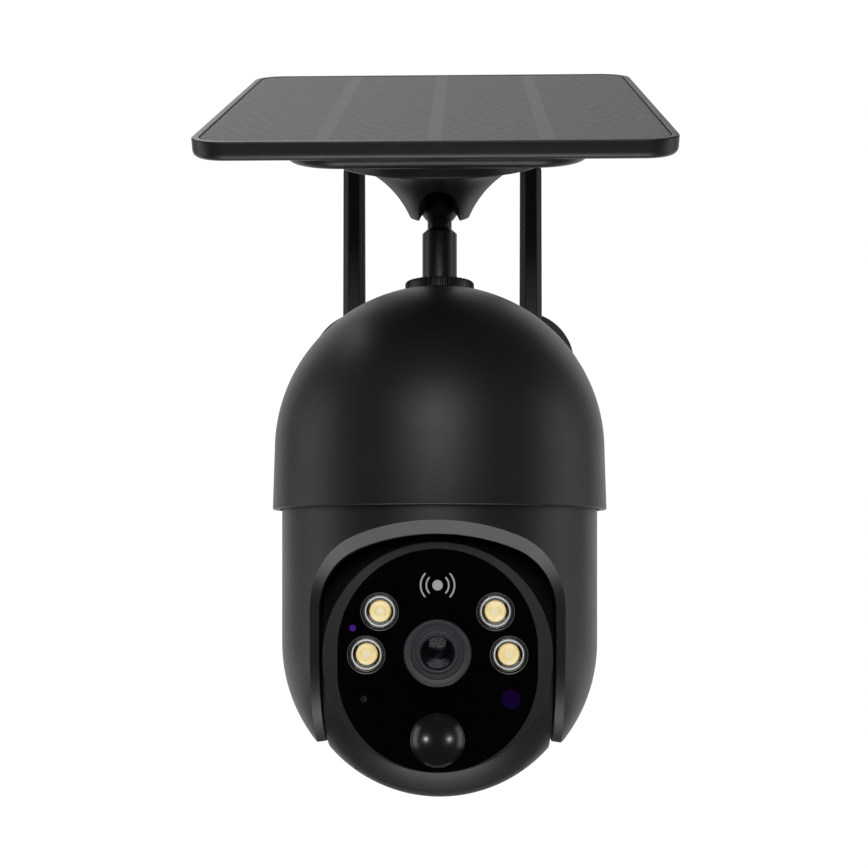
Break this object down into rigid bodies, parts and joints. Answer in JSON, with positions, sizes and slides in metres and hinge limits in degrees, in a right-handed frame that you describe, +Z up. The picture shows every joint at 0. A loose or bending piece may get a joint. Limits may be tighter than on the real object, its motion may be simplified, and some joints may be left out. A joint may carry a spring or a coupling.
{
  "type": "solar powered security camera",
  "caption": "Wall-mounted pan and tilt security camera: domed housing, camera ball in a fork, ball-jointed solar panel above and folding antennas behind.",
  "frame": {"origin": "centre of the flat wall face at the back of the mounting box", "axes": "+Y out of the wall face towards the wall, +Z up, the camera looks along -Y"},
  "size_m": [0.1474, 0.1713, 0.2785],
  "materials": {
    "body_black": "fine matte texture",
    "face_gloss": "high gloss",
    "panel_cell": "semi-matte laminate over dark cells",
    "clear_lens": "clear",
    "lens_glass": "coated",
    "lens_black": "satin",
    "led_bright": "bright reflector",
    "led_yellow": "phosphor",
    "smoked": "smoked, polished",
    "window": "tinted",
    "steel": "machined",
    "board": "solder mask",
    "cell_wrap": "shrink wrap",
    "gear_white": "moulded acetal",
    "seal_rubber": "soft"
  },
  "bodies": {
    "housing": {"rear_box": "body_black", "rear_seal": "seal_rubber", "wall_plate": "body_black", "box_screws": "steel", "main_board": "board", "charge_inlet": "body_black", "dome_shell": "body_black", "arm_socket": "body_black", "pan_base": "body_black", "base_screws": "steel", "pan_motor": "steel", "battery_cells": "cell_wrap", "battery_tray": "body_black", "antenna_hinges": "steel"},
    "fork": {"fork_shell": "body_black", "drive_cover": "body_black", "tilt_bush": "gear_white", "tilt_motor": "steel", "pan_gear": "gear_white"},
    "pan_drive": {"pan_pinion": "gear_white"},
    "tilt_drive": {"tilt_pinion": "gear_white"},
    "head": {"head_case": "body_black", "card_cover": "body_black", "face_plate": "face_gloss", "lens_ring": "lens_black", "lens_barrel": "lens_black", "lens_glass": "lens_glass", "image_sensor": "board", "led_lenses": "clear_lens", "led_reflectors": "led_bright", "led_chips": "led_yellow", "led_board": "board", "pir_lens": "smoked", "pir_sensor": "steel", "status_window": "window", "light_sensor": "window", "speaker": "lens_black", "tilt_gear": "gear_white"},
    "arm": {"arm_stem": "body_black", "arm_clip": "steel"},
    "nut": {"lock_nut": "body_black"},
    "ball_cup": {"ball_liner": "body_black"},
    "panel": {"panel_frame": "body_black", "panel_back": "body_black", "ball_socket": "body_black", "socket_screws": "steel", "solar_cells": "panel_cell", "panel_glass": "panel_cell"},
    "antenna_l": {"antenna_left": "body_black"},
    "antenna_r": {"antenna_right": "body_black"},
    "button": {"power_button": "body_black"}
  },
  "joints": [
    {"name": "pan", "type": "hinge", "parent": "housing", "child": "fork", "pos_m": [0, -0.086, -0.0227], "axis": [0, 0, 1], "range_deg": [-175, 175]},
    {"name": "pan_pinion_spin", "type": "hinge", "parent": "housing", "child": "pan_drive", "pos_m": [0, -0.05, -0.0067], "axis": [0, 0, 1], "range_deg": [-880, 880]},
    {"name": "tilt", "type": "hinge", "parent": "fork", "child": "head", "pos_m": [0, -0.086, -0.073], "axis": [1, 0, 0], "range_deg": [-15, 90]},
    {"name": "tilt_pinion_spin", "type": "hinge", "parent": "fork", "child": "tilt_drive", "pos_m": [0.044, -0.086, -0.0583], "axis": [1, 0, 0], "range_deg": [-230, 45]},
    {"name": "arm_turn", "type": "hinge", "parent": "housing", "child": "arm", "pos_m": [0, -0.086, 0.05], "axis": [0, 0, 1], "range_deg": [-45, 45]},
    {"name": "nut_turn", "type": "hinge", "parent": "housing", "child": "nut", "pos_m": [0, -0.086, 0.057], "axis": [0, 0, 1], "range_deg": [-180, 180]},
    {"name": "panel_pitch", "type": "hinge", "parent": "arm", "child": "ball_cup", "pos_m": [0, -0.086, 0.0868], "axis": [1, 0, 0], "range_deg": [-15, 33]},
    {"name": "panel_spin", "type": "hinge", "parent": "ball_cup", "child": "panel", "pos_m": [0, -0.086, 0.0868], "axis": [0, -0.4524, 0.8918], "range_deg": [-3, 3]},
    {"name": "antenna_left_fold", "type": "hinge", "parent": "housing", "child": "antenna_l", "pos_m": [-0.0355, -0.03, -0.008], "axis": [0, -1, 0], "range_deg": [0, 90]},
    {"name": "antenna_right_fold", "type": "hinge", "parent": "housing", "child": "antenna_r", "pos_m": [0.0355, -0.03, -0.008], "axis": [0, 1, 0], "range_deg": [0, 90]},
    {"name": "button_press", "type": "slide", "parent": "housing", "child": "button", "axis": [0, 0, 1], "range_m": [0, 0.0006], "stiffness_N_per_m": 500, "springref_m": -0.0006}
  ],
  "couplings": [
    {"joint": "pan_pinion_spin", "follows": "pan", "ratio": -5},
    {"joint": "tilt_pinion_spin", "follows": "tilt", "ratio": -2.5}
  ]
}
